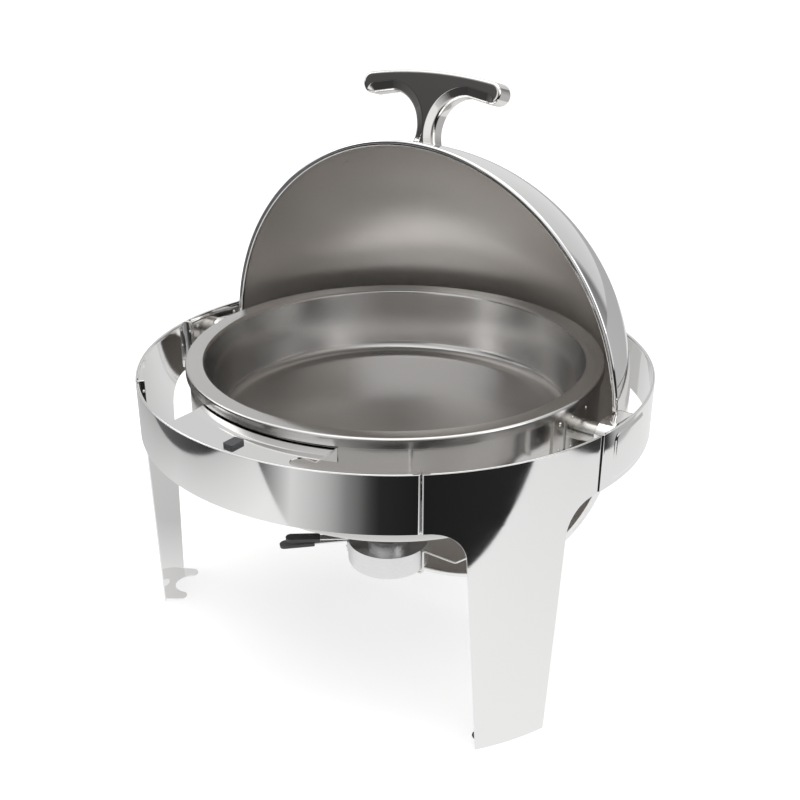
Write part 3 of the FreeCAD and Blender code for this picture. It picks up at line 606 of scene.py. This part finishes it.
def make_handle():
    """Cast handle: a stem flaring into a drooping bar, with shallow facets along its underside."""
    right = handle_underside() + three_point_arc(HANDLE_DROOP, (70.0, 254.0), HANDLE_SHOULDER, 12)[1:]
    shoulder_x, shoulder_w = HANDLE_SHOULDER
    top = three_point_arc(HANDLE_SHOULDER, (0.0, 270.3), (-shoulder_x, shoulder_w), 30)[1:-1]
    outline = right + top + [(-x, w) for x, w in reversed(right)]
    count = len(outline)
    work = bmesh.new()
    front = [work.verts.new((x * MM, -HANDLE_HALF_T * MM, w * MM)) for x, w in outline]
    back = [work.verts.new((x * MM, HANDLE_HALF_T * MM, w * MM)) for x, w in outline]
    work.faces.new(front)
    work.faces.new(list(reversed(back)))
    for i in range(count):
        work.faces.new((front[i], back[i], back[(i + 1) % count], front[(i + 1) % count]))
    bmesh.ops.recalc_face_normals(work, faces=work.faces)
    rims = [e for e in work.edges if abs(e.verts[0].co.y - e.verts[1].co.y) < 1e-6
            and max(v.co.z for v in e.verts) > (HANDLE_FOOT + 1) * MM]
    bmesh.ops.bevel(work, geom=rims, offset=2.4 * MM, segments=6, profile=0.5, affect="EDGES",
                    clamp_overlap=True)
    mesh = bpy.data.meshes.new("handle_blank")
    work.to_mesh(mesh)
    work.free()
    blank = bpy.data.objects.new("handle_blank", mesh)
    bpy.context.scene.collection.objects.link(blank)
    remesh = blank.modifiers.new("even_mesh", "REMESH")
    remesh.mode = "VOXEL"
    remesh.voxel_size = 0.55 * MM
    smooth = blank.modifiers.new("smooth", "SMOOTH")
    smooth.iterations = 6
    fine = bpy.data.meshes.new_from_object(blank.evaluated_get(bpy.context.evaluated_depsgraph_get()))
    bpy.data.objects.remove(blank)
    edge = handle_underside()
    edge = [Vector(a).lerp(Vector(b), k / 12) for a, b in zip(edge, edge[1:]) for k in range(12)]
    tree = mathutils.kdtree.KDTree(2 * len(edge))
    for i, point in enumerate(edge):
        tree.insert((point.x, 0, point.y), 2 * i)
        tree.insert((-point.x, 0, point.y), 2 * i + 1)
    tree.balance()
    facet_width, facet_depth = 8.6, 3.0
    for vertex in fine.vertices:
        x, y, w = vertex.co / MM
        distance = tree.find((x, 0, w))[2]
        drop = facet_depth * max(0.0, 1 - distance / facet_width)
        vertex.co.y = (y - math.copysign(drop * min(1.0, abs(y) / 6.0), y)) * MM
    lean = Matrix.Rotation(math.radians(-HANDLE_TILT), 4, "X")
    fine.transform(Matrix.Translation((0, 0, AXIS_Z * MM)) @ lean)
    fine.shade_smooth()
    handle = bpy.data.objects.new("lid_handle_cast", fine)
    bpy.context.scene.collection.objects.link(handle)
    dress(handle, CAST)
    place_piece(handle, "lid", "mirror_steel", "lid_handle")


# ---- inner ring, pans ----

def make_pans():
    food = sheet_outline([(187.0, 257.0, 0), (187.0, 265.5, 2.2), (170.0, 265.5, 4.0), (163.0, 200.9, 12.0),
                          (0.0, 200.9, 0)], 0.9, 10)
    pan = dress(lathe("food_pan_spun", food, 256), PAN_STEEL)
    place_piece(pan, "food_pan", "pan_steel", "food_pan")
    water = sheet_outline([(185.6, 264.3, 0), (176.5, 264.3, 4.0), (168.5, 205.0, 60.0), (160.5, 153.7, 22.0),
                           (0.0, 153.7, 0)], 0.9, 10)
    pan = dress(lathe("water_pan_spun", water, 256), PAN_STEEL, MIRROR)
    place_piece(pan, "water_pan", "pan_steel", "water_pan")


# ---- carried-over CAD nodes ----

CAD_FINISH = {
    "front_shelf": MIRROR, "lid_handle": CHROME, "right_lid_lug": CHROME, "left_lid_lug": CHROME,
    "hinge_bosses": CHROME, "inner_support_ring": RING_STEEL, "right_hinge_bracket": HINGE_STEEL,
    "left_hinge_bracket": HINGE_STEEL, "right_hinge_spacer": HINGE_STEEL, "left_hinge_spacer": HINGE_STEEL,
    "right_hinge_pad": HINGE_STEEL, "left_hinge_pad": HINGE_STEEL, "fuel_cup": CUP_STEEL, "cup_cover": CUP_STEEL,
    "damper_cap": CUP_STEEL, "cup_handle": CUP_STEEL, "lid_bumper": RUBBER, "cup_handle_grip": GRIP,
    "damper_grip": GRIP,
}


def dress_cad_nodes():
    for name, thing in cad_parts.items():
        if thing.hide_render:
            continue
        thing.data.shade_smooth()
        thing.data.set_sharp_from_angle(angle=math.radians(28))
        dress(thing, CAD_FINISH.get(name, FIXING_STEEL))


# ---- stage ----

VIEW_AZIMUTH = 36.0
VIEW_ELEVATION = 24.0
VIEW_DISTANCE = 1.0
VIEW_TARGET = Vector((-0.0025, -0.0018, 0.2133))
VIEW_ROLL = -0.29
FOCAL_SHARE = 1.355


def make_camera():
    data = bpy.data.cameras.new("camera")
    camera = bpy.data.objects.new("camera", data)
    bpy.context.scene.collection.objects.link(camera)
    a = math.radians(VIEW_AZIMUTH)
    e = math.radians(VIEW_ELEVATION)
    back = Vector((math.sin(a) * math.cos(e), -math.cos(a) * math.cos(e), math.sin(e)))
    camera.location = VIEW_TARGET + back * VIEW_DISTANCE
    turn = (-back).to_track_quat("-Z", "Y").to_matrix() @ Matrix.Rotation(math.radians(VIEW_ROLL), 3, "Z")
    camera.rotation_euler = turn.to_euler()
    data.sensor_width = 36.0
    data.lens = 36.0 * FOCAL_SHARE
    data.shift_x = 0.0102
    data.shift_y = 0.0016
    data.clip_start = 0.01
    data.clip_end = 100.0
    bpy.context.scene.camera = camera


def glow(name, ramp_builder):
    material = bpy.data.materials.new(name)
    material.use_nodes = True
    nodes = material.node_tree.nodes
    nodes.clear()
    output = nodes.new("ShaderNodeOutputMaterial")
    emission = nodes.new("ShaderNodeEmission")
    material.node_tree.links.new(emission.outputs["Emission"], output.inputs["Surface"])
    ramp_builder(material, emission)
    return material


def math_node(material, operation, first, second=None, clamp=False):
    node = material.node_tree.nodes.new("ShaderNodeMath")
    node.operation = operation
    node.use_clamp = clamp
    for i, value in enumerate((first, second)):
        if value is None:
            continue
        if isinstance(value, (int, float)):
            node.inputs[i].default_value = value
        else:
            material.node_tree.links.new(value, node.inputs[i])
    return node.outputs["Value"]


def ramp(material, value, stops):
    node = material.node_tree.nodes.new("ShaderNodeValToRGB")
    elements = node.color_ramp.elements
    while len(elements) > 1:
        elements.remove(elements[-1])
    elements[0].position, tone = stops[0]
    elements[0].color = (tone, tone, tone, 1)
    for position, tone in stops[1:]:
        element = elements.new(position)
        element.color = (tone, tone, tone, 1)
    material.node_tree.links.new(value, node.inputs["Fac"])
    return node.outputs["Color"]


# Extent of the white table top painted into the floor reflection.
TABLE_HALF_WIDTH = 0.65
TABLE_FRONT = 0.460
TABLE_BACK = 1.1


def paint_floor_reflection(material, emission):
    """Painted floor reflection for polished sheet, an emission pattern seen only by glossy rays: a white table
    top with painted shade sectors, and a dim studio floor beyond its edges.
    """
    nodes, links = material.node_tree.nodes, material.node_tree.links
    coords = nodes.new("ShaderNodeTexCoord")
    split = nodes.new("ShaderNodeSeparateXYZ")
    links.new(coords.outputs["Object"], split.inputs["Vector"])
    right = split.outputs["X"]
    back = split.outputs["Y"]
    edge = 0.004

    def inside(value, limit):
        gap = math_node(material, "SUBTRACT", limit, value)
        return math_node(material, "DIVIDE", gap, edge, clamp=True)

    across_table = inside(math_node(material, "ABSOLUTE", right), TABLE_HALF_WIDTH)
    before_front = inside(math_node(material, "MULTIPLY", back, -1.0), TABLE_FRONT)
    on_table = math_node(material, "MULTIPLY", across_table, before_front)
    on_table = math_node(material, "MULTIPLY", on_table, inside(back, TABLE_BACK))
    across = math_node(material, "ADD", math_node(material, "MULTIPLY", right, 0.5), 0.5)
    # Painted reflection brightness across the reflected table top.
    painted_table_tone = ramp(material, across, [
        (0.17, 0.55), (0.22, 0.72), (0.28, 0.88), (0.55, 0.92), (0.85, 0.80),
    ])
    angle = math_node(material, "ARCTAN2", right, math_node(material, "MULTIPLY", back, -1.0))
    turn = math_node(material, "ADD", math_node(material, "DIVIDE", angle, 2 * math.pi), 0.5)
    # Painted shade by angle about the object, multiplied into the reflected table.
    shade = ramp(material, turn, [
        (0.0, 0.72), (0.05, 0.64), (0.14, 0.62), (0.20, 0.80), (0.25, 1.0), (0.88, 0.98), (0.95, 0.82),
        (1.0, 0.72),
    ])
    shaded = nodes.new("ShaderNodeMix")
    shaded.data_type = "RGBA"
    shaded.blend_type = "MULTIPLY"
    shaded.inputs[0].default_value = 1.0
    links.new(painted_table_tone, shaded.inputs[6])
    links.new(shade, shaded.inputs[7])
    # Painted dark and bright stretches of the studio floor beyond the table, seen in reflection.
    painted_studio_tone = ramp(material, turn, [
        (0.02, 0.30), (0.30, 0.04), (0.36, 0.05), (0.399, 0.71), (0.418, 0.585), (0.432, 0.475),
        (0.443, 0.357), (0.453, 0.22), (0.464, 0.144), (0.474, 0.055), (0.484, 0.022), (0.52, 0.014),
        (0.62, 0.020), (0.74, 0.04),
        (0.755, 0.45), (0.80, 0.50), (0.97, 0.40),
    ])
    mix = nodes.new("ShaderNodeMix")
    mix.data_type = "RGBA"
    links.new(on_table, mix.inputs[0])
    links.new(painted_studio_tone, mix.inputs[6])
    links.new(shaded.outputs[2], mix.inputs[7])
    links.new(mix.outputs[2], emission.inputs["Color"])


def plane(name, half, z, turn=0.0):
    mesh = bpy.data.meshes.new(name)
    corners = [(-half, -half, 0), (half, -half, 0), (half, half, 0), (-half, half, 0)]
    mesh.from_pydata(corners, [], [(0, 1, 2, 3)])
    thing = bpy.data.objects.new(name, mesh)
    thing.location.z = z
    thing.rotation_euler.z = math.radians(turn)
    bpy.context.scene.collection.objects.link(thing)
    return thing


def make_stage():
    floor = plane("floor", 20.0, -0.0002)
    material, shader = principled("pale_floor", (0.42, 0.42, 0.42), 0.0, 0.9)
    shader.inputs["Specular IOR Level"].default_value = 0.0
    shader.inputs["Emission Color"].default_value = (1, 1, 1, 1)
    shader.inputs["Emission Strength"].default_value = 0.66
    dress(floor, material)
    floor.visible_glossy = False
    # Emission plane seen only in glossy rays under the pale floor: a painted floor reflection, not a lamp.
    seen = plane("glossy_only_painted_floor", 6.0, -0.0004, VIEW_AZIMUTH)
    dress(seen, glow("painted_floor_reflection", paint_floor_reflection))
    seen.visible_camera = False
    seen.visible_diffuse = False
    seen.visible_shadow = False
    seen.visible_transmission = False


def make_world():
    """Soft studio walls with dark and bright stretches near the horizon, and a bright ceiling."""
    world = bpy.data.worlds.new("studio")
    bpy.context.scene.world = world
    world.use_nodes = True
    nodes, links = world.node_tree.nodes, world.node_tree.links
    background = nodes["Background"]
    coords = nodes.new("ShaderNodeTexCoord")
    turn = nodes.new("ShaderNodeMapping")
    turn.inputs["Rotation"].default_value = (0, 0, math.radians(-VIEW_AZIMUTH))
    links.new(coords.outputs["Generated"], turn.inputs["Vector"])
    split = nodes.new("ShaderNodeSeparateXYZ")
    links.new(turn.outputs["Vector"], split.inputs["Vector"])
    towards_camera = math_node(world, "MULTIPLY", split.outputs["Y"], -1.0)
    angle = math_node(world, "ARCTAN2", split.outputs["X"], towards_camera)
    share = math_node(world, "ADD", math_node(world, "DIVIDE", angle, 2 * math.pi), 0.5)
    walls = ramp(world, share, [
        (0.0, 0.74), (0.06, 0.70), (0.13, 0.50), (0.17, 0.07), (0.25, 0.03), (0.32, 0.04), (0.345, 0.85),
        (0.42, 0.95), (0.455, 0.12), (0.52, 0.10), (0.60, 0.70),
        (0.68, 0.90), (0.76, 0.66), (0.84, 0.30), (0.865, 0.17), (0.875, 0.60), (0.95, 0.74),
    ])
    height = math_node(world, "ADD", math_node(world, "MULTIPLY", split.outputs["Z"], 0.5), 0.5)
    ceiling = ramp(world, height, [
        (0.0, 0.9), (0.56, 0.0), (0.66, 0.10), (0.70, 0.55), (0.80, 1.0), (1.0, 1.0),
    ])
    lift = ramp(world, height, [(0.0, 0.7), (0.5, 0.7), (0.70, 0.62), (0.80, 0.74), (0.88, 1.2), (1.0, 2.0)])
    mix = nodes.new("ShaderNodeMix")
    mix.data_type = "RGBA"
    links.new(ceiling, mix.inputs[0])
    links.new(walls, mix.inputs[6])
    links.new(lift, mix.inputs[7])
    path = nodes.new("ShaderNodeLightPath")
    seen = nodes.new("ShaderNodeMix")
    seen.data_type = "RGBA"
    links.new(path.outputs["Is Camera Ray"], seen.inputs[0])
    links.new(mix.outputs[2], seen.inputs[6])
    seen.inputs[7].default_value = (1.0, 1.0, 1.0, 1)
    links.new(seen.outputs[2], background.inputs["Color"])
    background.inputs["Strength"].default_value = 1.0


def area_light(name, place, aim, size, power, colour=(1, 1, 1)):
    data = bpy.data.lights.new(name, "AREA")
    data.shape = "RECTANGLE"
    data.size = size[0]
    data.size_y = size[1]
    data.energy = power
    data.color = colour
    light = bpy.data.objects.new(name, data)
    light.location = place
    light.rotation_euler = (Vector(aim) - Vector(place)).to_track_quat("-Z", "Y").to_euler()
    bpy.context.scene.collection.objects.link(light)
    return light


def make_lights():
    middle = (0, 0, 0.25)
    table_light = area_light("table_light", (0.0, 0.0, 2.4), middle, (3.0, 3.0), 30)
    table_light.visible_glossy = False
    area_light("left_softbox", (-1.5, -0.5, 1.2), middle, (0.8, 1.0), 4)
    area_light("right_softbox", (1.6, 0.1, 1.1), middle, (0.7, 1.0), 4)


make_ring_panels()
make_dome()
make_rim_bead()
make_handle()
make_pans()
dress_cad_nodes()
make_camera()
make_stage()
make_world()
make_lights()
bpy.context.scene.view_settings.view_transform = "Standard"
